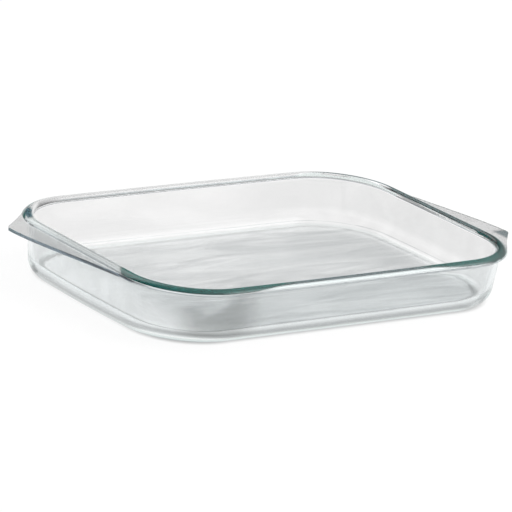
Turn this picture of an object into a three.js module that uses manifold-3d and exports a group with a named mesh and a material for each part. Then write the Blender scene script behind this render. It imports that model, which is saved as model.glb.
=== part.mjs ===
// Open glass baking dish, pressed in one piece with a tab handle at each end.
// Millimetres, +Z up, +X along the length; the origin lies on the standing plane under the middle.
import * as THREE from 'three';
import { mergeVertices } from 'three/addons/utils/BufferGeometryUtils.js';
import Module from 'manifold-3d';

// Outer size over the rim, without the handles
const LENGTH = 330;
const WIDTH = 236;
const HEIGHT = 44;

// Plan of the dish
const RIM_CORNER_R = 58;
const FOOT_CORNER_EASE = 4;
const LONG_BOW_RIM = 2;
const LONG_BOW_FOOT = 0.5;
const END_BOW_RIM = 0;
const END_BOW_FOOT = 7;

// Section through the wall
const WALL = 4.2;
const FLOOR = 5;
const DRAFT = THREE.MathUtils.degToRad(6.5);
const OUTER_FILLET_R = 12;
const INNER_FILLET_R = 11;

// Rim bead
const BEAD_WIDTH = 8.8;
const BEAD_PEAK_INSET = 5.7;
const BEAD_SHOULDER = 2.6;
const LIP_THICKNESS = 2;
const LIP_ROOT_R = 1.2;

// Tab handles
const TAB_REACH = 18.2;
const RIGHT_TIP_Y = -56;
const LEFT_TIP_Y = -64;
const TAB_FLANK_ANGLE = THREE.MathUtils.degToRad(34);
const TAB_FLANK_HOLLOW = 1.5;
const TAB_TIP_R = 5.5;
const TAB_STRAIGHT_PART = 0.25;
const TAB_FADE_Y = 52;
const TAB_FADE_PART = 1 / 3;
const TAB_ROOT_INSET = 5.5;
const TAB_BELOW_LIP = 0.4;
const TAB_EDGE_R = 0.9;

// Facets
const CORNER_STEPS = 10;
const LONG_STEPS = 8;
const END_STEPS = 6;
const FILLET_STEPS = 6;
const BEAD_STEPS = 5;
const LIP_ROOT_STEPS = 2;
const TAB_STEPS = 10;
const TAB_EDGE_STEPS = 3;

const QUARTER = Math.PI / 2;
const HALF_X = LENGTH / 2;
const HALF_Y = WIDTH / 2;
const LIP_UNDERSIDE = HEIGHT - BEAD_SHOULDER - LIP_THICKNESS;

// A point of the section: inset from the rim's outer edge, and height.
const at = (inset, z) => ({ inset, z });

// Points of a round in the section, turning from one angle to another; angle zero looks outwards.
function round(center, radius, from, to, steps) {
  const points = [];
  for (let i = 0; i <= steps; i += 1) {
    const a = THREE.MathUtils.lerp(from, to, i / steps);
    points.push(at(center.inset - radius * Math.cos(a), center.z + radius * Math.sin(a)));
  }
  return points;
}

// The outer skin: standing edge, fillet, drafted wall up to the lip.
function outerSkin() {
  const topInset = BEAD_WIDTH - WALL;
  const wallInset = (z) => topInset + Math.tan(DRAFT) * (LIP_UNDERSIDE - z);
  const center = at(wallInset(OUTER_FILLET_R) + OUTER_FILLET_R / Math.cos(DRAFT), OUTER_FILLET_R);
  const fillet = round(center, OUTER_FILLET_R, -QUARTER, -DRAFT, FILLET_STEPS);
  const rootZ = LIP_UNDERSIDE - LIP_ROOT_R;
  const rootCenter = at(wallInset(rootZ) - LIP_ROOT_R / Math.cos(DRAFT), rootZ);
  const root = round(rootCenter, LIP_ROOT_R, Math.PI - DRAFT, QUARTER, LIP_ROOT_STEPS);
  return [...fillet, ...root];
}

// The rim bead: nose of the lip, crown, and the round down into the hollow.
function bead() {
  const noseR = LIP_THICKNESS / 2;
  const run = BEAD_PEAK_INSET - noseR;
  const span = (run * run + BEAD_SHOULDER * BEAD_SHOULDER) / (2 * BEAD_SHOULDER);
  const crownR = span + noseR;
  const tilt = Math.asin(run / span);
  const innerR = BEAD_WIDTH - BEAD_PEAK_INSET;
  const nose = round(at(noseR, LIP_UNDERSIDE + noseR), noseR, -QUARTER, QUARTER - tilt, BEAD_STEPS);
  const crown = round(at(BEAD_PEAK_INSET, HEIGHT - crownR), crownR, QUARTER - tilt, QUARTER, BEAD_STEPS);
  const inner = round(at(BEAD_PEAK_INSET, HEIGHT - innerR), innerR, QUARTER, Math.PI - DRAFT, BEAD_STEPS);
  return [...nose, ...crown.slice(1), ...inner.slice(1)];
}

// The inner skin: drafted wall and the fillet down to the floor.
function innerSkin() {
  const top = HEIGHT - (BEAD_WIDTH - BEAD_PEAK_INSET);
  const filletTop = FLOOR + INNER_FILLET_R;
  const wallInset = BEAD_WIDTH + Math.tan(DRAFT) * (top - filletTop);
  const center = at(wallInset + INNER_FILLET_R / Math.cos(DRAFT), filletTop);
  return round(center, INNER_FILLET_R, -DRAFT, -QUARTER, FILLET_STEPS);
}

// One level outline: a rounded rectangle with gently bowed sides, rounder and fuller towards the foot.
function outline({ inset, z }) {
  const low = 1 - z / HEIGHT;
  const halfX = HALF_X - inset;
  const halfY = HALF_Y - inset;
  const r = RIM_CORNER_R - inset + FOOT_CORNER_EASE * low;
  const longBow = THREE.MathUtils.lerp(LONG_BOW_RIM, LONG_BOW_FOOT, low);
  const endBow = THREE.MathUtils.lerp(END_BOW_RIM, END_BOW_FOOT, low);
  const points = [];
  for (let side = 0; side < 4; side += 1) {
    const signX = side === 0 || side === 3 ? 1 : -1;
    const signY = side < 2 ? 1 : -1;
    const center = new THREE.Vector2(signX * (halfX - r), signY * (halfY - r));
    for (let i = 0; i <= CORNER_STEPS; i += 1) {
      const a = (side + i / CORNER_STEPS) * QUARTER;
      points.push(new THREE.Vector2(center.x + r * Math.cos(a), center.y + r * Math.sin(a)));
    }
    const alongX = side % 2 === 0;
    const steps = alongX ? LONG_STEPS : END_STEPS;
    const start = points[points.length - 1];
    const straight = alongX ? new THREE.Vector2(-2 * center.x, 0) : new THREE.Vector2(0, -2 * center.y);
    for (let i = 1; i < steps; i += 1) points.push(start.clone().addScaledVector(straight, i / steps));
  }
  return points.map(({ x, y }) => new THREE.Vector3(
    x * (1 + (endBow / halfX) * (1 - (y / halfY) ** 2)),
    y * (1 + (longBow / halfY) * (1 - (x / halfX) ** 2)),
    z,
  ));
}

// The dish without its handles: outlines joined level by level, closed under the foot and over the floor.
function dishGeometry() {
  const rings = [...outerSkin(), ...bead(), ...innerSkin()].map(outline);
  const count = rings[0].length;
  const points = rings.flat();
  const foot = points.push(new THREE.Vector3(0, 0, 0)) - 1;
  const floor = points.push(new THREE.Vector3(0, 0, FLOOR)) - 1;
  const faces = [];
  for (let i = 0; i < count; i += 1) {
    const j = (i + 1) % count;
    for (let ring = 0; ring + 1 < rings.length; ring += 1) {
      const low = ring * count;
      const high = low + count;
      faces.push(low + i, low + j, high + j, low + i, high + j, high + i);
    }
    const last = (rings.length - 1) * count;
    faces.push(foot, j, i, floor, last + i, last + j);
  }
  const geometry = new THREE.BufferGeometry().setFromPoints(points);
  geometry.setIndex(faces);
  return geometry;
}

// Plan of one handle: a swept tab, widest near the corner and fading into the rim at its other end.
function tabShape(tipY) {
  const corner = new THREE.Vector2(HALF_X - RIM_CORNER_R, RIM_CORNER_R - HALF_Y);
  const onRim = (radius) => new THREE.Vector2(
    corner.x + radius * Math.cos(TAB_FLANK_ANGLE),
    corner.y - radius * Math.sin(TAB_FLANK_ANGLE),
  );
  const rootX = HALF_X - TAB_ROOT_INSET;
  const tipX = HALF_X + TAB_REACH;
  const rootR = RIM_CORNER_R - TAB_ROOT_INSET;
  const flank = onRim(RIM_CORNER_R);
  const tip = new THREE.Vector2(tipX - TAB_TIP_R / 2, tipY - TAB_TIP_R);
  const span = TAB_FADE_Y - tipY;
  const shape = new THREE.Shape();
  const root = onRim(rootR);
  shape.moveTo(root.x, root.y);
  shape.lineTo(flank.x, flank.y);
  shape.quadraticCurveTo((flank.x + tip.x) / 2, (flank.y + tip.y) / 2 + TAB_FLANK_HOLLOW, tip.x, tip.y);
  shape.quadraticCurveTo(tipX, tipY - TAB_TIP_R / 2, tipX, tipY);
  shape.bezierCurveTo(
    tipX, tipY + span * TAB_STRAIGHT_PART,
    HALF_X + TAB_REACH * TAB_FADE_PART, TAB_FADE_Y - span * TAB_FADE_PART,
    HALF_X, TAB_FADE_Y,
  );
  shape.lineTo(rootX, TAB_FADE_Y);
  shape.lineTo(rootX, corner.y);
  shape.absarc(corner.x, corner.y, rootR, 0, -TAB_FLANK_ANGLE, true);
  return shape;
}

// One handle: the swept tab with rounded edges, level with the shoulder of the bead.
function tabGeometry(tipY) {
  const thickness = LIP_THICKNESS + TAB_BELOW_LIP;
  const bottom = LIP_UNDERSIDE - TAB_BELOW_LIP;
  const geometry = new THREE.ExtrudeGeometry(tabShape(tipY), {
    depth: thickness - 2 * TAB_EDGE_R,
    bevelThickness: TAB_EDGE_R,
    bevelSize: TAB_EDGE_R,
    bevelOffset: -TAB_EDGE_R,
    bevelSegments: TAB_EDGE_STEPS,
    curveSegments: TAB_STEPS,
  });
  geometry.translate(0, 0, bottom + TAB_EDGE_R);
  return geometry;
}

const wasm = await Module();
wasm.setup();

// A three.js geometry as a closed solid.
function solid(geometry) {
  const bare = geometry.clone();
  bare.deleteAttribute('normal');
  bare.deleteAttribute('uv');
  const merged = mergeVertices(bare);
  return new wasm.Manifold(new wasm.Mesh({
    numProp: 3,
    vertProperties: new Float32Array(merged.getAttribute('position').array),
    triVerts: new Uint32Array(merged.getIndex().array),
  }));
}

// A closed solid as a three.js geometry.
function toGeometry(body) {
  const mesh = body.getMesh();
  const geometry = new THREE.BufferGeometry();
  geometry.setAttribute('position', new THREE.BufferAttribute(new Float32Array(mesh.vertProperties), 3));
  geometry.setIndex(new THREE.BufferAttribute(new Uint32Array(mesh.triVerts), 1));
  geometry.computeVertexNormals();
  return geometry;
}

// The pressed dish: body and both handles in one piece of glass.
function glassDish() {
  const right = tabGeometry(RIGHT_TIP_Y);
  const left = tabGeometry(LEFT_TIP_Y).rotateZ(Math.PI);
  const body = solid(dishGeometry()).add(solid(right)).add(solid(left));
  const material = new THREE.MeshStandardMaterial({ color: 0xdfeae8, roughness: 0.05, metalness: 0 });
  const mesh = new THREE.Mesh(toGeometry(body), material);
  mesh.name = 'glass_dish';
  return mesh;
}

const dish = new THREE.Group();
dish.name = 'glass_baking_dish';
dish.add(glassDish());

export default dish;
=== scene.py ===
import math

import bmesh
import bpy
from mathutils import Matrix, Vector


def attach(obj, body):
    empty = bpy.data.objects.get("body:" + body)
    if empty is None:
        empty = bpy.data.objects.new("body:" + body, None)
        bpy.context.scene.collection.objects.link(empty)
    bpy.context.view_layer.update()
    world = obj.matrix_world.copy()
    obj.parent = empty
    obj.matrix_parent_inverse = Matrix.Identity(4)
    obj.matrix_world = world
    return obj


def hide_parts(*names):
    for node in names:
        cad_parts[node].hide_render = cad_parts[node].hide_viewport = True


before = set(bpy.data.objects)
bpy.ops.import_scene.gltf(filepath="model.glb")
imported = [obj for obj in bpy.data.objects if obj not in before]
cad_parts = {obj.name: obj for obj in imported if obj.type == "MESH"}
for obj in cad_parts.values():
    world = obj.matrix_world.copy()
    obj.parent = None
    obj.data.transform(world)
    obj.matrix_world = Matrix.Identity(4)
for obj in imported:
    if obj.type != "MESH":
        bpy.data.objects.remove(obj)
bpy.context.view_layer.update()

MM = 0.001
QUARTER = math.pi / 2
FULL_TURN = 2 * math.pi


def mm(*lengths):
    """Lengths in millimetres, as metres."""
    return tuple(length * MM for length in lengths)


# Outer size over the rim, without the handles
LENGTH = 330 * MM
WIDTH = 236 * MM
HEIGHT = 44 * MM
HALF_X = LENGTH / 2
HALF_Y = WIDTH / 2

# Plan of the dish
RIM_CORNER_R = 58 * MM
FOOT_CORNER_EASE = 4 * MM
LONG_BOW_RIM = 2 * MM
LONG_BOW_FOOT = 0.5 * MM
END_BOW_RIM = 0 * MM
END_BOW_FOOT = 7 * MM

# Section through the wall
WALL = 4.2 * MM
FLOOR = 5 * MM
DRAFT = math.radians(6.5)
OUTER_FILLET_R = 12 * MM
INNER_FILLET_R = 11 * MM

# Rim bead
BEAD_WIDTH = 8.8 * MM
BEAD_PEAK_INSET = 5.7 * MM
BEAD_SHOULDER = 2.6 * MM
LIP_THICKNESS = 2 * MM
LIP_ROOT_R = 1.2 * MM
LIP_UNDERSIDE = HEIGHT - BEAD_SHOULDER - LIP_THICKNESS

# Tab handles
TAB_REACH = 18.2 * MM
RIGHT_TIP_Y = -56 * MM
LEFT_TIP_Y = -64 * MM
TAB_FLANK_ANGLE = math.radians(34)
TAB_FLANK_HOLLOW = 1.5 * MM
TAB_TIP_R = 5.5 * MM
TAB_STRAIGHT_PART = 0.25
TAB_FADE_Y = 52 * MM
TAB_FADE_PART = 1 / 3
TAB_ROOT_INSET = 5.5 * MM
TAB_BELOW_LIP = 0.4 * MM
TAB_EDGE_R = 0.9 * MM
TAB_THICKNESS = LIP_THICKNESS + TAB_BELOW_LIP
TAB_BOTTOM = LIP_UNDERSIDE - TAB_BELOW_LIP

# Standing edge of the foot
FOOT_INSET = (
    BEAD_WIDTH - WALL
    + math.tan(DRAFT) * (LIP_UNDERSIDE - OUTER_FILLET_R)
    + OUTER_FILLET_R / math.cos(DRAFT)
)
FOOT_HALF_X = HALF_X - FOOT_INSET + END_BOW_FOOT / 2
FOOT_HALF_Y = HALF_Y - FOOT_INSET
FOOT_CORNER_R = RIM_CORNER_R - FOOT_INSET + FOOT_CORNER_EASE

# Fineness of the mesh
CORNER_STEPS = 28
LONG_STEPS = 25
END_STEPS = 19
FILLET_STEPS = 12
WALL_STEPS = 6
BEAD_STEPS = 10
LIP_ROOT_STEPS = 4
TAB_FLANK_STEPS = 10
TAB_TIP_STEPS = 6
TAB_SIDE_STEPS = 30
TAB_ROOT_STEPS = 8
TAB_EDGE_STEPS = 5
SMOOTH_BELOW = math.radians(30)
SAME_LEVEL = 0.01 * MM
SAME_POINT = 0.01 * MM
SAME_POINT_FUSED = 0.02 * MM
# Counting starts this far before the X axis, so that a point on it is always the first of its ring
START_TURN = 0.001


def lerp(a, b, t):
    """The value that lies the part t of the way from a to b."""
    return a + (b - a) * t


def section_round(center, radius, start, stop, steps):
    """Points of a round in the wall's section; angle zero looks outwards."""
    inset, z = center
    points = []
    for i in range(steps + 1):
        a = lerp(start, stop, i / steps)
        points.append((inset - radius * math.cos(a), z + radius * math.sin(a)))
    return points


def straight_between(a, b, steps):
    """Points between two points of the section, without its ends."""
    return [(lerp(a[0], b[0], i / steps), lerp(a[1], b[1], i / steps)) for i in range(1, steps)]


def wall_section():
    """The whole section, from the foot's edge up the outside, over the bead and down to the floor."""
    top_inset = BEAD_WIDTH - WALL

    def outer_inset(z):
        return top_inset + math.tan(DRAFT) * (LIP_UNDERSIDE - z)

    foot_center = (outer_inset(OUTER_FILLET_R) + OUTER_FILLET_R / math.cos(DRAFT), OUTER_FILLET_R)
    foot = section_round(foot_center, OUTER_FILLET_R, -QUARTER, -DRAFT, FILLET_STEPS)
    root_z = LIP_UNDERSIDE - LIP_ROOT_R
    root_center = (outer_inset(root_z) - LIP_ROOT_R / math.cos(DRAFT), root_z)
    root = section_round(root_center, LIP_ROOT_R, math.pi - DRAFT, QUARTER, LIP_ROOT_STEPS)
    nose_r = LIP_THICKNESS / 2
    run = BEAD_PEAK_INSET - nose_r
    span = (run * run + BEAD_SHOULDER * BEAD_SHOULDER) / (2 * BEAD_SHOULDER)
    crown_r = span + nose_r
    tilt = math.asin(run / span)
    nose_center = (nose_r, LIP_UNDERSIDE + nose_r)
    nose = section_round(nose_center, nose_r, -QUARTER, QUARTER - tilt, BEAD_STEPS)
    crown_center = (BEAD_PEAK_INSET, HEIGHT - crown_r)
    crown = section_round(crown_center, crown_r, QUARTER - tilt, QUARTER, BEAD_STEPS)
    inner_r = BEAD_WIDTH - BEAD_PEAK_INSET
    inner_center = (BEAD_PEAK_INSET, HEIGHT - inner_r)
    inner = section_round(inner_center, inner_r, QUARTER, math.pi - DRAFT, BEAD_STEPS)
    fillet_top = FLOOR + INNER_FILLET_R
    inner_inset = BEAD_WIDTH + math.tan(DRAFT) * (HEIGHT - inner_r - fillet_top)
    floor_center = (inner_inset + INNER_FILLET_R / math.cos(DRAFT), fillet_top)
    floor = section_round(floor_center, INNER_FILLET_R, -DRAFT, -QUARTER, FILLET_STEPS)
    return [
        *foot, *straight_between(foot[-1], root[0], WALL_STEPS),
        *root, *nose, *crown[1:], *inner[1:],
        *straight_between(inner[-1], floor[0], WALL_STEPS), *floor,
    ]


def turn_round_dish(point):
    """How far round the dish a point lies, counted from the middle of the right-hand end."""
    return (math.atan2(point[1], point[0]) + START_TURN) % FULL_TURN


def dish_outline(inset, z):
    """One level outline: a rounded rectangle with bowed sides, rounder and fuller towards the foot."""
    low = 1 - z / HEIGHT
    half_x = HALF_X - inset
    half_y = HALF_Y - inset
    r = RIM_CORNER_R - inset + FOOT_CORNER_EASE * low
    long_bow = lerp(LONG_BOW_RIM, LONG_BOW_FOOT, low)
    end_bow = lerp(END_BOW_RIM, END_BOW_FOOT, low)
    flat = []
    for side in range(4):
        sign_x = 1 if side in (0, 3) else -1
        sign_y = 1 if side < 2 else -1
        cx = sign_x * (half_x - r)
        cy = sign_y * (half_y - r)
        for i in range(CORNER_STEPS + 1):
            a = (side + i / CORNER_STEPS) * QUARTER
            flat.append((cx + r * math.cos(a), cy + r * math.sin(a)))
        x, y = flat[-1]
        along_x = side % 2 == 0
        steps = LONG_STEPS if along_x else END_STEPS
        for i in range(1, steps):
            t = 2 * i / steps
            flat.append((x - t * cx, y) if along_x else (x, y - t * cy))
    bowed = [(
        x * (1 + end_bow / half_x * (1 - (y / half_y) ** 2)),
        y * (1 + long_bow / half_y * (1 - (x / half_x) ** 2)),
        z,
    ) for x, y in flat]
    return sorted(bowed, key=turn_round_dish)


def select_only(piece):
    """Makes a piece the selected and active one."""
    bpy.ops.object.select_all(action="DESELECT")
    piece.select_set(True)
    bpy.context.view_layer.objects.active = piece


def lay_ring(piece, points):
    """Puts the selected ring of corners on the given points, in order round the dish."""
    edit = bmesh.from_edit_mesh(piece.data)
    ring = sorted((v for v in edit.verts if v.select), key=lambda v: turn_round_dish(v.co))
    for vert, point in zip(ring, points):
        vert.co = point
    bmesh.update_edit_mesh(piece.data)


def press_body():
    """The dish without its handles: one ring extruded level by level along the section."""
    section = wall_section()
    first = dish_outline(*section[0])
    bpy.ops.object.select_all(action="DESELECT")
    bpy.ops.mesh.primitive_circle_add(vertices=len(first), radius=HALF_Y, fill_type="NOTHING")
    body = bpy.context.object
    body.name = "pressed_glass_dish"
    bpy.ops.object.mode_set(mode="EDIT")
    bpy.ops.mesh.select_all(action="SELECT")
    lay_ring(body, first)
    for inset, z in section[1:]:
        bpy.ops.mesh.extrude_edges_move()
        lay_ring(body, dish_outline(inset, z))
    bpy.ops.mesh.select_all(action="SELECT")
    bpy.ops.mesh.remove_doubles(threshold=SAME_POINT)
    bpy.ops.mesh.select_all(action="SELECT")
    bpy.ops.mesh.fill_holes(sides=0)
    bpy.ops.mesh.normals_make_consistent(inside=False)
    bpy.ops.object.mode_set(mode="OBJECT")
    return body


def quadratic(a, b, c, steps):
    """Points of a curve from a to c that leans towards b, without its start."""
    points = []
    for i in range(1, steps + 1):
        t = i / steps
        points.append(a * (1 - t) ** 2 + b * 2 * t * (1 - t) + c * t * t)
    return points


def cubic(a, b, c, d, steps):
    """Points of a curve from a to d that leans towards b and then c, without its start."""
    points = []
    for i in range(1, steps + 1):
        t = i / steps
        points.append(a * (1 - t) ** 3 + b * 3 * t * (1 - t) ** 2 + c * 3 * t * t * (1 - t) + d * t ** 3)
    return points


def tab_plan(tip_y):
    """Plan of one handle: a swept tab, widest near the corner and fading into the rim."""
    corner = Vector((HALF_X - RIM_CORNER_R, RIM_CORNER_R - HALF_Y))

    def on_rim(radius, angle):
        return corner + radius * Vector((math.cos(angle), -math.sin(angle)))

    root_x = HALF_X - TAB_ROOT_INSET
    tip_x = HALF_X + TAB_REACH
    root_r = RIM_CORNER_R - TAB_ROOT_INSET
    flank = on_rim(RIM_CORNER_R, TAB_FLANK_ANGLE)
    tip = Vector((tip_x - TAB_TIP_R / 2, tip_y - TAB_TIP_R))
    end = Vector((tip_x, tip_y))
    span = TAB_FADE_Y - tip_y
    plan = [on_rim(root_r, TAB_FLANK_ANGLE), flank]
    plan += quadratic(flank, (flank + tip) / 2 + Vector((0, TAB_FLANK_HOLLOW)), tip, TAB_FLANK_STEPS)
    plan += quadratic(tip, Vector((tip_x, tip_y - TAB_TIP_R / 2)), end, TAB_TIP_STEPS)
    plan += cubic(
        end, Vector((tip_x, tip_y + span * TAB_STRAIGHT_PART)),
        Vector((HALF_X + TAB_REACH * TAB_FADE_PART, TAB_FADE_Y - span * TAB_FADE_PART)),
        Vector((HALF_X, TAB_FADE_Y)), TAB_SIDE_STEPS)
    plan.append(Vector((root_x, TAB_FADE_Y)))
    plan += [on_rim(root_r, TAB_FLANK_ANGLE * i / TAB_ROOT_STEPS) for i in range(TAB_ROOT_STEPS)]
    return plan


def press_tab(tip_y):
    """One handle: its plan raised to its thickness, with rounded edges."""
    plan = tab_plan(tip_y)
    bpy.ops.object.select_all(action="DESELECT")
    bpy.ops.mesh.primitive_circle_add(vertices=len(plan), radius=TAB_REACH, fill_type="NGON")
    tab = bpy.context.object
    tab.name = "tab_handle"
    bpy.ops.object.mode_set(mode="EDIT")
    bpy.ops.mesh.select_all(action="SELECT")
    lay_ring(tab, [(p.x, p.y, TAB_BOTTOM) for p in plan])
    bpy.ops.mesh.extrude_region_move(TRANSFORM_OT_translate={"value": (0, 0, TAB_THICKNESS)})
    bpy.ops.mesh.select_all(action="DESELECT")
    edit = bmesh.from_edit_mesh(tab.data)
    for edge in edit.edges:
        a, b = edge.verts
        edge.select = abs(a.co.z - b.co.z) < SAME_LEVEL
    edit.select_flush(True)
    bmesh.update_edit_mesh(tab.data)
    bpy.ops.mesh.bevel(offset=TAB_EDGE_R, segments=TAB_EDGE_STEPS, affect="EDGES", clamp_overlap=True)
    bpy.ops.mesh.select_all(action="SELECT")
    bpy.ops.mesh.normals_make_consistent(inside=False)
    bpy.ops.object.mode_set(mode="OBJECT")
    return tab


def fuse(body, tab):
    """Joins a handle to the dish, so that both are one piece of glass."""
    select_only(body)
    union = body.modifiers.new("fuse", "BOOLEAN")
    union.operation = "UNION"
    union.solver = "EXACT"
    union.object = tab
    bpy.ops.object.modifier_apply(modifier=union.name)
    bpy.data.objects.remove(tab)


def glass_dish_piece():
    """The whole dish: body and both handles in one piece of glass."""
    body = press_body()
    right = press_tab(RIGHT_TIP_Y)
    fuse(body, right)
    left = press_tab(LEFT_TIP_Y)
    left.data.transform(Matrix.Rotation(math.pi, 4, "Z"))
    fuse(body, left)
    select_only(body)
    bpy.ops.object.mode_set(mode="EDIT")
    bpy.ops.mesh.select_all(action="SELECT")
    bpy.ops.mesh.remove_doubles(threshold=SAME_POINT_FUSED)
    bpy.ops.mesh.normals_make_consistent(inside=False)
    bpy.ops.object.mode_set(mode="OBJECT")
    bpy.ops.object.shade_smooth_by_angle(angle=SMOOTH_BELOW)
    return body


# Glass and polish
GLASS_IOR = 1.5
DEPTH_TINT = (0.35, 0.62, 0.57)
DEPTH_DENSITY = 2.5
POLISHED = 0.01
FLOOR_WEAR = 0.15
GRIP_MATT = 0.06
WAVE_BUMP = 0.14
WAVE_BUMP_HEIGHT = 1.2 * MM
STIPPLE_SCALE = 650
STIPPLE_BUMP = 0.1
STIPPLE_BUMP_HEIGHT = 0.6 * MM
GRIP_X = (HALF_X - 0.5 * MM, HALF_X + 1.5 * MM)
GRIP_Z = (TAB_BOTTOM + 1.0 * MM, TAB_BOTTOM + 0.4 * MM)

# Two places say where a tint starts and where it is full; four say start, full, still full and end.
# Patterns are scaled in swells a metre along each axis, and their tints go with the pattern's value.

# Grey painted shade over the glass, varying with the pressing waves in the walls, and cooler painted shade
# outside on the front and on the left-hand end
WAVE_SCALE = (9, 38, 26)
WAVE_DETAIL = 3
WAVE_DISTORTION = 1.2
WAVE_SHADE_TINTS = ((0.35, (0.85, 0.845, 0.845)), (0.65, (0.92, 0.915, 0.915)))
NEAR_SHADE_TINTS = ((0.35, (0.79, 0.845, 0.86)), (0.65, (0.87, 0.925, 0.94)))
NEAR_SHADE_FACING = (-0.2, -0.5)
NEAR_SHADE_FRONT_Y = mm(-60, -80)
NEAR_SHADE_LEFT_X = mm(-120, -140)

# Shaded pools in the wall beside the near left corner, deeper lower down
POOL_SCALE = (20, 20, 34)
POOL_TURN = 0.5
POOL_DETAIL = 4
POOL_DISTORTION = 0.8
POOL_DEEPER = 0.26
POOL_DEEPER_Z = mm(44, 16)
POOL_SHOWN = (0.34, 0.7)
POOL_RIGHT_X = mm(-72, -104)
POOL_LEFT_X = mm(-154, -128)
POOL_Y = mm(-84, -104)
POOL_TINT = (0.53, 0.55, 0.55)

# Painted shade: far walls greyer towards the right-hand end, and the round above the floor duller on the far
# side
FAR_WALL_SHADE_X = mm(20, 110)
FAR_WALL_SHADE_Y = mm(-85, -50)
FAR_WALL_SHADE_Z = mm(13, 20, 38, 40)
FAR_WALL_SHADE_TINT = (0.74, 0.74, 0.74)
FAR_ROUND_X = mm(130, 100)
FAR_ROUND_Y = mm(60, 90)
FAR_ROUND_Z = mm(5.2, 6.5, 9.5, 13)
FAR_ROUND_SHADE = (0.7, 0.7, 0.7)

# Thick foot, with painted shade darkening its standing edge
FOOT_Z = mm(0.02, 0.1, 3, 8)
FOOT_TINT = (0.56, 0.66, 0.65)
STANDING_EDGE_Z = mm(0.02, 0.1, 1.5, 2.4)
STANDING_EDGE_SHADE = (0.13, 0.2, 0.21)

# Painted shade on the underside, and painted streaks of focused light and shade on the floor of the dish;
# painted light makes both fainter towards the left-hand end
UNDERSIDE_Z = mm(0.1, 0.02)
UNDERSIDE_SHADE = (0.78, 0.8, 0.81)
STREAK_SCALE = (8, 46, 30)
STREAK_TURN = math.radians(10)
STREAK_DETAIL = 4
STREAK_DISTORTION = 1.4
STREAK_LIGHT_AND_SHADE_TINTS = ((0.36, (0.48, 0.5, 0.505)), (0.64, (0.77, 0.79, 0.79)))
ON_FLOOR_Z = tuple(FLOOR + rise for rise in mm(-0.5, -0.1, 0.1, 0.6))
LEFT_END_LIGHT_X = mm(-85, -130)
LEFT_END_LIGHT_TINT = (0.96, 0.965, 0.965)

# Painted shade in lines along the nose of the lip and the crest of the rim, with a grey band and a darker
# shoulder of painted shade on the left-hand end
NOSE_LINE_Z = mm(39.8, 40.0, 40.3, 40.6)
NOSE_LINE_SHADE = (0.3, 0.34, 0.37)
LEFT_RIM_X = (14 * MM - HALF_X, 10 * MM - HALF_X)
LEFT_RIM_Y = mm(-72, -60)
LEFT_BAND_Z = mm(41.5, 41.7, 43.2, 43.6)
LEFT_BAND_SHADE = (0.6, 0.62, 0.64)
LEFT_SHOULDER_Z = mm(41.45, 41.6, 42.1, 42.5)
LEFT_SHOULDER_SHADE = (0.25, 0.28, 0.3)
FAR_RIM_X = mm(135, 110)
FAR_RIM_Y = mm(60, 80)
FAR_LINE_Z = mm(39.9, 40.1, 40.4, 40.6)
FAR_LINE_SHADE = (0.1, 0.11, 0.115)
CREST_DEPTH = 0.9 * MM
CREST_SOFT_EDGE = 0.3 * MM
CREST_FAR_RISE = 0.5 * MM
CREST_FAR_Y = mm(20, 60)
CREST_LOSS_LEFT = 0.5
CREST_LOSS_FAR = 0.85
# Painted shade in a dark line along the crest
CREST_TINT = (0.035, 0.055, 0.062)

# The rim's sea-green depth, deepened with painted shade at the corners and along the crown, on the far side
# only outside
DEEP_OUT_X = mm(35, 115)
DEEP_NEAR_Y = mm(-40, -62)
DEEP_FAR_Y = mm(40, 62)
DEEP_FAR_FACING = (0.12, 0.3)
DEEP_Z = mm(41.2, 41.6)
DEEP_SHOWN = (0.72, 0.95)
CROWN_Z = (HEIGHT - 4 * MM, HEIGHT)
CROWN_SHARE = 0.7
CORNER_SHARE = 0.75
HANDLE_TOP_X = (HALF_X - 7 * MM, HALF_X - 4 * MM)
HANDLE_TOP_Z = mm(41.6, 41.4)
SHADED_SEA_GREENS = ((0.45, (0.0001, 0.006, 0.005)), (0.95, (0.0006, 0.026, 0.02)))

# Painted slate-dark shade on the crest of the far left corner
FAR_LEFT_X = mm(-143, -148)
FAR_LEFT_Y = mm(71, 77)
FAR_LEFT_Z = (HEIGHT - 1.0 * MM, HEIGHT - 0.7 * MM)
FAR_LEFT_SHADE = (0.01, 0.035, 0.05)

# Painted shade in a dark line along the crest of the right-hand end, deepest at the near corner
RIGHT_CREST_X = (HALF_X - 9.6 * MM, HALF_X - 8.9 * MM)
RIGHT_CREST_Y = mm(66, 54)
RIGHT_CREST_Z = (HEIGHT - 1.8 * MM, HEIGHT - 1.1 * MM)
RIGHT_CREST_SHADE = (0.002, 0.008, 0.0085)
RIGHT_CORNER_X = mm(118, 145)
RIGHT_CORNER_Y = mm(-50, -66)
RIGHT_CORNER_Z = mm(41.4, 42)
RIGHT_CORNER_SHADE = (0.0001, 0.006, 0.005)

# Painted shade on the slate-dark edges of the handles, darkest at the tip of the right-hand one
HANDLE_EDGE_LEVEL = (0.9, 0.55)
HANDLE_EDGE_X = (HALF_X - 4 * MM, HALF_X - 2 * MM)
HANDLE_EDGE_Y = mm(72, 66)
HANDLE_EDGE_Z = mm(38.5, 38.9, 41.3, 41.5)
LEFT_TO_RIGHT_X = mm(-10, 10)
LEFT_EDGE_SHADE = (0.055, 0.085, 0.115)
RIGHT_EDGE_SHADE = (0.02, 0.035, 0.05)
TIP_SHADE_X = (HALF_X + 4 * MM, HALF_X + 9 * MM)
TIP_SHADE_Y = mm(-49, -56)
TIP_SHADE_TINT = (0.07, 0.1, 0.11)

# Outlines of painted shade, where the glass is looked along
OUTLINE_BLEND = 0.5
OUTLINE_SHOWN = (0.8, 0.97)
OUTLINE_LOSS_FAR = 0.7
OUTLINE_SHADE = (0.2, 0.27, 0.29)


# The Mix node's colour sockets share their names with its other kinds, so they are taken by number
MIX_UNDER = 6
MIX_OVER = 7
MIX_RESULT = 2


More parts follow.
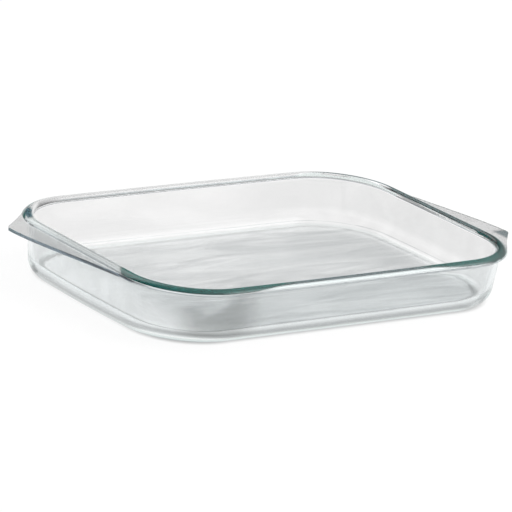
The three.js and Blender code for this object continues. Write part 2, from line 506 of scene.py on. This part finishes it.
class NodeKit:
    """Short ways of laying nodes in one material or surround."""

    def __init__(self, owner):
        owner.use_nodes = True
        self.nodes = owner.node_tree.nodes
        self.links = owner.node_tree.links

    def axes(self, vector):
        """X, Y and Z of a vector."""
        node = self.nodes.new("ShaderNodeSeparateXYZ")
        self.links.new(vector, node.inputs["Vector"])
        return node.outputs

    def fade(self, value, start, full, curve="SMOOTHSTEP"):
        """A mask that grows from 0 to 1 while a value goes from its start to where it is full."""
        node = self.nodes.new("ShaderNodeMapRange")
        node.interpolation_type = curve
        node.inputs["From Min"].default_value = start
        node.inputs["From Max"].default_value = full
        self.links.new(value, node.inputs["Value"])
        return node.outputs["Result"]

    def band(self, value, start, full, still_full, end):
        """A mask that grows, stays full for a while and fades out again."""
        return self.overlap(self.fade(value, start, full), self.fade(value, end, still_full))

    def maths(self, operation, *values):
        """One sum of masks and plain numbers."""
        node = self.nodes.new("ShaderNodeMath")
        node.operation = operation
        for socket, value in zip(node.inputs, values):
            if isinstance(value, (int, float)):
                socket.default_value = value
            else:
                self.links.new(value, socket)
        return node.outputs[0]

    def overlap(self, first, *others):
        """A mask that holds where all the given masks hold."""
        for other in others:
            first = self.maths("MULTIPLY", first, other)
        return first

    def either(self, first, *others):
        """A mask that holds where any of the given masks holds."""
        for other in others:
            first = self.maths("MAXIMUM", first, other)
        return first

    def weaken(self, mask, where, share):
        """A mask that loses a share of its strength where another mask holds."""
        return self.overlap(mask, self.maths("MULTIPLY_ADD", where, -share, 1))

    def blend(self, mask, under, over):
        """One colour laid over another where the mask says so."""
        node = self.nodes.new("ShaderNodeMix")
        node.data_type = "RGBA"
        self.links.new(mask, node.inputs["Factor"])
        for place, colour in ((MIX_UNDER, under), (MIX_OVER, over)):
            socket = node.inputs[place]
            if isinstance(colour, tuple):
                socket.default_value = (*colour, 1)
            else:
                self.links.new(colour, socket)
        return node.outputs[MIX_RESULT]

    def ramp(self, value, stops):
        """Colours along a value."""
        node = self.nodes.new("ShaderNodeValToRGB")
        marks = node.color_ramp.elements
        while len(marks) < len(stops):
            marks.new(position=0.5)
        for mark, (position, colour) in zip(marks, stops):
            mark.position = position
            mark.color = (*colour, 1)
        self.links.new(value, node.inputs["Fac"])
        return node.outputs["Color"]

    def swells(self, place, scale, turn, detail, distortion):
        """Long soft swells; the scale is in swells a metre along each axis."""
        stretch = self.nodes.new("ShaderNodeMapping")
        stretch.inputs["Scale"].default_value = scale
        stretch.inputs["Rotation"].default_value = (0, 0, turn)
        self.links.new(place, stretch.inputs["Vector"])
        noise = self.nodes.new("ShaderNodeTexNoise")
        noise.inputs["Scale"].default_value = 1
        noise.inputs["Detail"].default_value = detail
        noise.inputs["Distortion"].default_value = distortion
        self.links.new(stretch.outputs["Vector"], noise.inputs["Vector"])
        return noise.outputs["Fac"]

    def bump(self, height, strength, distance, below=None):
        """Relief from a height, laid over the relief below it."""
        node = self.nodes.new("ShaderNodeBump")
        node.inputs["Strength"].default_value = strength
        node.inputs["Distance"].default_value = distance
        self.links.new(height, node.inputs["Height"])
        if below:
            self.links.new(below, node.inputs["Normal"])
        return node.outputs["Normal"]

    def towards(self, way, direction):
        """How nearly a ray looks along a direction, 1 being straight along it."""
        node = self.nodes.new("ShaderNodeVectorMath")
        node.operation = "DOT_PRODUCT"
        node.inputs[1].default_value = direction
        self.links.new(way, node.inputs[0])
        return node.outputs["Value"]


class GlassFinish(NodeKit):
    """The finish of the glass, built up from tints, most of them painted shade and light, that are laid one
    over the other.
    """

    def __init__(self, material):
        super().__init__(material)
        self.shader = self.nodes["Principled BSDF"]
        self.place = self.nodes.new("ShaderNodeTexCoord").outputs["Object"]
        self.x, self.y, self.z = self.axes(self.place)
        self.out_x = self.maths("ABSOLUTE", self.x)
        self.out_y = self.maths("ABSOLUTE", self.y)
        surface = self.nodes.new("ShaderNodeNewGeometry").outputs
        self.from_outside = self.maths("SUBTRACT", 1, surface["Backfacing"])
        self.facing_x, self.facing_y, facing_z = self.axes(surface["Normal"])
        self.level = self.maths("ABSOLUTE", facing_z)
        self.on_floor = self.band(self.z, *ON_FLOOR_Z)
        self.far_rim = self.overlap(self.fade(self.y, *FAR_RIM_Y), self.fade(self.x, *FAR_RIM_X))
        self.waves = self.swells(self.place, WAVE_SCALE, 0, WAVE_DETAIL, WAVE_DISTORTION)
        # Grey painted shade over all the glass, varying with the pressing waves
        self.colour = self.ramp(self.waves, WAVE_SHADE_TINTS)

    def lay(self, mask, tint):
        """Lays one more tint over the glass."""
        self.colour = self.blend(mask, self.colour, tint)

    def lay_outside(self, mask, tint):
        """Lays one more tint over the glass, only where it is seen from outside the glass."""
        self.lay(self.overlap(mask, self.from_outside), tint)

    def clear_body(self):
        """Clear glass that is slightly blue-green in depth."""
        self.shader.inputs["Metallic"].default_value = 0
        self.shader.inputs["Transmission Weight"].default_value = 1
        self.shader.inputs["IOR"].default_value = GLASS_IOR
        depth = self.nodes.new("ShaderNodeVolumeAbsorption")
        depth.inputs["Color"].default_value = (*DEPTH_TINT, 1)
        depth.inputs["Density"].default_value = DEPTH_DENSITY
        self.links.new(depth.outputs["Volume"], self.nodes["Material Output"].inputs["Volume"])

    def wall_tints(self):
        """Painted shade: cooler near walls, shaded pools beside the near left corner and greyer far walls.
        """
        front = self.overlap(self.fade(self.facing_y, *NEAR_SHADE_FACING), self.fade(self.y, *NEAR_SHADE_FRONT_Y))
        left = self.overlap(self.fade(self.facing_x, *NEAR_SHADE_FACING), self.fade(self.x, *NEAR_SHADE_LEFT_X))
        self.lay_outside(self.either(front, left), self.ramp(self.waves, NEAR_SHADE_TINTS))
        pools = self.swells(self.place, POOL_SCALE, POOL_TURN, POOL_DETAIL, POOL_DISTORTION)
        pools = self.maths("MULTIPLY_ADD", self.fade(self.z, *POOL_DEEPER_Z), POOL_DEEPER, pools)
        beside = self.overlap(
            self.fade(self.x, *POOL_RIGHT_X), self.fade(self.x, *POOL_LEFT_X),
            self.fade(self.y, *POOL_Y))
        self.lay(self.overlap(beside, self.fade(pools, *POOL_SHOWN)), POOL_TINT)
        far_wall_shade = self.overlap(
            self.fade(self.x, *FAR_WALL_SHADE_X), self.fade(self.y, *FAR_WALL_SHADE_Y),
            self.band(self.z, *FAR_WALL_SHADE_Z))
        self.lay_outside(far_wall_shade, FAR_WALL_SHADE_TINT)
        far_round = self.overlap(
            self.fade(self.x, *FAR_ROUND_X), self.fade(self.y, *FAR_ROUND_Y),
            self.band(self.z, *FAR_ROUND_Z))
        self.lay_outside(far_round, FAR_ROUND_SHADE)

    def foot_and_floor_tints(self):
        """Thick foot with painted shade at its standing edge, underside with painted shade, and the floor of
        the dish streaked with painted light and shade.
        """
        self.lay_outside(self.band(self.z, *FOOT_Z), FOOT_TINT)
        self.lay_outside(self.band(self.z, *STANDING_EDGE_Z), STANDING_EDGE_SHADE)
        underside = self.fade(self.z, *UNDERSIDE_Z)
        self.lay(underside, UNDERSIDE_SHADE)
        streaks = self.swells(self.place, STREAK_SCALE, STREAK_TURN, STREAK_DETAIL, STREAK_DISTORTION)
        self.lay(self.on_floor, self.ramp(streaks, STREAK_LIGHT_AND_SHADE_TINTS))
        both = self.either(self.on_floor, underside)
        self.lay(self.overlap(self.fade(self.x, *LEFT_END_LIGHT_X), both), LEFT_END_LIGHT_TINT)

    def rim_lines(self):
        """Fine lines of painted shade along the nose of the lip and the crest of the rim."""
        self.lay(self.band(self.z, *NOSE_LINE_Z), NOSE_LINE_SHADE)
        left_rim = self.overlap(
            self.fade(self.x, *LEFT_RIM_X), self.fade(self.y, *LEFT_RIM_Y), self.from_outside)
        self.lay(self.overlap(left_rim, self.band(self.z, *LEFT_BAND_Z)), LEFT_BAND_SHADE)
        self.lay(self.overlap(left_rim, self.band(self.z, *LEFT_SHOULDER_Z)), LEFT_SHOULDER_SHADE)
        self.lay_outside(self.overlap(self.far_rim, self.band(self.z, *FAR_LINE_Z)), FAR_LINE_SHADE)
        far = self.fade(self.y, *CREST_FAR_Y)
        crest_start = self.maths("MULTIPLY_ADD", far, CREST_FAR_RISE, HEIGHT - CREST_DEPTH)
        crest = self.fade(self.maths("SUBTRACT", self.z, crest_start), 0, CREST_SOFT_EDGE)
        crest = self.weaken(crest, left_rim, CREST_LOSS_LEFT)
        crest = self.weaken(crest, self.far_rim, CREST_LOSS_FAR)
        self.lay_outside(crest, CREST_TINT)

    def deep_corners(self):
        """Sea-green deepened with painted shade at the rim's corners, painted slate shade at the far left, a
        painted dark crest on the right.
        """
        outer_far = self.overlap(
            self.fade(self.facing_y, *DEEP_FAR_FACING), self.from_outside,
            self.fade(self.y, *DEEP_FAR_Y))
        near_or_far = self.either(self.fade(self.y, *DEEP_NEAR_Y), outer_far)
        corner = self.overlap(self.fade(self.out_x, *DEEP_OUT_X), near_or_far)
        crown = self.fade(self.z, *CROWN_Z, "LINEAR")
        gathered = self.maths("MULTIPLY", corner, CORNER_SHARE)
        gathered = self.maths("MULTIPLY_ADD", crown, CROWN_SHARE, gathered)
        on_handle = self.overlap(self.fade(self.out_x, *HANDLE_TOP_X), self.fade(self.z, *HANDLE_TOP_Z))
        off_handle = self.maths("SUBTRACT", 1, on_handle)
        deep_rim = self.overlap(
            self.fade(gathered, *DEEP_SHOWN), off_handle, self.fade(self.z, *DEEP_Z))
        self.lay(deep_rim, self.ramp(crown, SHADED_SEA_GREENS))
        far_left = self.overlap(
            self.fade(self.x, *FAR_LEFT_X), self.fade(self.y, *FAR_LEFT_Y),
            self.fade(self.z, *FAR_LEFT_Z))
        self.lay_outside(far_left, FAR_LEFT_SHADE)
        right_crest = self.overlap(
            self.fade(self.x, *RIGHT_CREST_X), self.fade(self.y, *RIGHT_CREST_Y),
            self.fade(self.z, *RIGHT_CREST_Z))
        self.lay_outside(right_crest, RIGHT_CREST_SHADE)
        right_corner = self.overlap(
            self.fade(self.x, *RIGHT_CORNER_X), self.fade(self.y, *RIGHT_CORNER_Y),
            self.fade(self.z, *RIGHT_CORNER_Z))
        self.lay(right_corner, RIGHT_CORNER_SHADE)

    def handle_edges(self):
        """Painted shade on the slate-dark edges of the handles, and on the shaded tip of the right-hand one.
        """
        edge = self.overlap(
            self.fade(self.level, *HANDLE_EDGE_LEVEL), self.fade(self.out_x, *HANDLE_EDGE_X),
            self.band(self.z, *HANDLE_EDGE_Z), self.fade(self.out_y, *HANDLE_EDGE_Y))
        on_right = self.fade(self.x, *LEFT_TO_RIGHT_X)
        self.lay_outside(edge, self.blend(on_right, LEFT_EDGE_SHADE, RIGHT_EDGE_SHADE))
        tip = self.overlap(self.fade(self.x, *TIP_SHADE_X), self.fade(self.y, *TIP_SHADE_Y))
        self.lay_outside(tip, TIP_SHADE_TINT)

    def outlines(self):
        """Painted shade: darker glass where it is looked along, less on the far rim."""
        grazing = self.nodes.new("ShaderNodeLayerWeight")
        grazing.inputs["Blend"].default_value = OUTLINE_BLEND
        outline = self.fade(grazing.outputs["Facing"], *OUTLINE_SHOWN)
        self.lay(self.weaken(outline, self.far_rim, OUTLINE_LOSS_FAR), OUTLINE_SHADE)

    def polish(self):
        """Polished and slightly wavy glass, worn on the dish's floor and stippled under the handles."""
        beyond_rim = self.fade(self.out_x, *GRIP_X)
        grip = self.overlap(beyond_rim, self.fade(self.z, *GRIP_Z, "LINEAR"))
        roughness = self.maths("MULTIPLY_ADD", grip, GRIP_MATT, POLISHED)
        roughness = self.maths("MULTIPLY_ADD", self.on_floor, FLOOR_WEAR, roughness)
        self.links.new(roughness, self.shader.inputs["Roughness"])
        stipple = self.nodes.new("ShaderNodeTexVoronoi")
        stipple.inputs["Scale"].default_value = STIPPLE_SCALE
        self.links.new(self.place, stipple.inputs["Vector"])
        stippled = self.overlap(stipple.outputs["Distance"], grip)
        waved = self.bump(self.waves, WAVE_BUMP, WAVE_BUMP_HEIGHT)
        relief = self.bump(stippled, STIPPLE_BUMP, STIPPLE_BUMP_HEIGHT, waved)
        self.links.new(relief, self.shader.inputs["Normal"])


def clear_glass():
    """Clear pressed glass with painted shade and light in its colour: sea-green deepened with painted shade
    at the rim, streaked with painted light and shade on the floor, stippled under the handles.
    """
    material = bpy.data.materials.new("clear_pressed_glass")
    glass = GlassFinish(material)
    glass.clear_body()
    glass.wall_tints()
    glass.foot_and_floor_tints()
    glass.rim_lines()
    glass.deep_corners()
    glass.handle_edges()
    glass.outlines()
    glass.links.new(glass.colour, glass.shader.inputs["Base Color"])
    glass.polish()
    return material


# White floor under the dish, with a contact shadow round the foot
STUDIO_FLOOR_SIZE = 12
STUDIO_FLOOR_BASE = (0.1, 0.1, 0.1, 1)
STUDIO_FLOOR_GLOW = 0.92
SHADOW_DEPTH = 0.42
SHADOW_OUTER = mm(9, 1)
SHADOW_INNER = mm(-6, 0)
SHADED_FRONT_Y = mm(-40, -70)
SHADED_LEFT_X = mm(-76, -90)
WHITE = (1.0, 1.0, 1.0)


def contact_shadow(kit):
    """A mask along the foot at the front and the left-hand end; light through the dish clears the rest."""
    x, y, _ = kit.axes(kit.nodes.new("ShaderNodeTexCoord").outputs["Object"])
    squares = []
    for reach, straight in ((x, FOOT_HALF_X - FOOT_CORNER_R), (y, FOOT_HALF_Y - FOOT_CORNER_R)):
        beyond = kit.maths("SUBTRACT", kit.maths("ABSOLUTE", reach), straight)
        past = kit.maths("MAXIMUM", beyond, 0)
        squares.append(kit.maths("MULTIPLY", past, past))
    spread = kit.maths("SQRT", kit.maths("ADD", *squares))
    outside = kit.maths("SUBTRACT", spread, FOOT_CORNER_R)
    shaded = kit.either(kit.fade(y, *SHADED_FRONT_Y), kit.fade(x, *SHADED_LEFT_X))
    return kit.overlap(kit.fade(outside, *SHADOW_OUTER), kit.fade(outside, *SHADOW_INNER), shaded)


def white_floor():
    """A plain white floor that keeps the contact shadow of the dish."""
    bpy.ops.object.select_all(action="DESELECT")
    bpy.ops.mesh.primitive_plane_add(size=STUDIO_FLOOR_SIZE)
    floor = bpy.context.object
    floor.name = "studio_floor"
    material = bpy.data.materials.new("studio_floor_white")
    kit = NodeKit(material)
    shader = kit.nodes["Principled BSDF"]
    shader.inputs["Roughness"].default_value = 1
    shader.inputs["Specular IOR Level"].default_value = 0
    shader.inputs["Base Color"].default_value = STUDIO_FLOOR_BASE
    rays = kit.nodes.new("ShaderNodeLightPath").outputs
    seen = kit.either(rays["Is Camera Ray"], rays["Is Glossy Ray"], rays["Is Transmission Ray"])
    lit = kit.maths("MULTIPLY_ADD", contact_shadow(kit), -SHADOW_DEPTH, STUDIO_FLOOR_GLOW)
    glow = kit.nodes.new("ShaderNodeEmission")
    glow.inputs["Color"].default_value = (*WHITE, 1)
    kit.links.new(kit.overlap(seen, lit), glow.inputs["Strength"])
    both = kit.nodes.new("ShaderNodeAddShader")
    kit.links.new(shader.outputs["BSDF"], both.inputs[0])
    kit.links.new(glow.outputs[0], both.inputs[1])
    kit.links.new(both.outputs[0], kit.nodes["Material Output"].inputs["Surface"])
    floor.data.materials.append(material)


# Surround: brightest high up on the right, a second glow high up behind, white near the horizon
RIGHT_GLOW_WAY = (0.64, -0.37, 0.67)
RIGHT_GLOW = (
    (0.2, (0.12, 0.12, 0.125)),
    (0.7, (0.85, 0.85, 0.85)),
    (0.9, (1.5, 1.5, 1.5)),
    (0.99, (4.5, 4.5, 4.5)),
)
BACK_GLOW_WAY = (0.04, 0.76, 0.64)
BACK_GLOW_REACH = (0.88, 0.99)
BACK_GLOW = (1.9, 1.9, 1.9)
HORIZON_Z = (0.2, 0.1)


def studio_light():
    """A surround without lamps: two glows high up, dim elsewhere, and white low down and to the camera."""
    world = bpy.data.worlds.new("studio")
    bpy.context.scene.world = world
    kit = NodeKit(world)
    back = kit.nodes["Background"]
    back.inputs["Strength"].default_value = 1
    way = kit.nodes.new("ShaderNodeTexCoord").outputs["Generated"]
    room = kit.ramp(kit.towards(way, RIGHT_GLOW_WAY), RIGHT_GLOW)
    behind = kit.fade(kit.towards(way, BACK_GLOW_WAY), *BACK_GLOW_REACH)
    room = kit.blend(behind, room, BACK_GLOW)
    _, _, upward = kit.axes(way)
    seen = kit.nodes.new("ShaderNodeLightPath").outputs["Is Camera Ray"]
    white = kit.either(kit.fade(upward, *HORIZON_Z), seen)
    kit.links.new(kit.blend(white, room, WHITE), back.inputs["Color"])


# The photograph's view; lengths on the picture are in pixels
VIEW_AZIMUTH = math.radians(-37.055)
VIEW_ELEVATION = math.radians(17.12)
VIEW_ROLL = math.radians(-6)
VIEW_DISTANCE = 3.2254
LOOK_AT = Vector((0, 0, 17.4 * MM))
FOCAL_PX = 4367.2
FRAME_PX = 512
OFF_CENTRE_RIGHT_PX = 6.57
OFF_CENTRE_DOWN_PX = 5.98
SENSOR_WIDTH_MM = 36


def photo_camera():
    """The photograph's view: low, from the front left corner, with a slight roll."""
    back = Vector((
        math.sin(VIEW_AZIMUTH) * math.cos(VIEW_ELEVATION),
        -math.cos(VIEW_AZIMUTH) * math.cos(VIEW_ELEVATION),
        math.sin(VIEW_ELEVATION),
    ))
    right = Vector((math.cos(VIEW_AZIMUTH), math.sin(VIEW_AZIMUTH), 0))
    up = back.cross(right)
    rolled_right = math.cos(VIEW_ROLL) * right - math.sin(VIEW_ROLL) * up
    rolled_up = math.sin(VIEW_ROLL) * right + math.cos(VIEW_ROLL) * up
    px = VIEW_DISTANCE / FOCAL_PX
    aside = rolled_up * OFF_CENTRE_DOWN_PX * px - rolled_right * OFF_CENTRE_RIGHT_PX * px
    spot = LOOK_AT + aside + back * VIEW_DISTANCE
    lens = bpy.data.cameras.new("photo_camera")
    lens.sensor_width = SENSOR_WIDTH_MM
    lens.lens = FOCAL_PX / FRAME_PX * lens.sensor_width
    camera = bpy.data.objects.new("photo_camera", lens)
    bpy.context.collection.objects.link(camera)
    turn = Matrix((rolled_right, rolled_up, back)).transposed().to_4x4()
    camera.matrix_world = Matrix.Translation(spot) @ turn
    bpy.context.scene.camera = camera


# Light runs far along inside the rim before it leaves the glass
LIGHT_BOUNCES = 40

dish = glass_dish_piece()
dish.data.materials.clear()
dish.data.materials.append(clear_glass())
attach(dish, "root")
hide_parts("glass_dish")

white_floor()
studio_light()
photo_camera()
bpy.context.scene.view_settings.view_transform = "Standard"
bpy.context.scene.cycles.max_bounces = LIGHT_BOUNCES
bpy.context.scene.cycles.glossy_bounces = LIGHT_BOUNCES
bpy.context.scene.cycles.transmission_bounces = LIGHT_BOUNCES

bpy.context.view_layer.update()
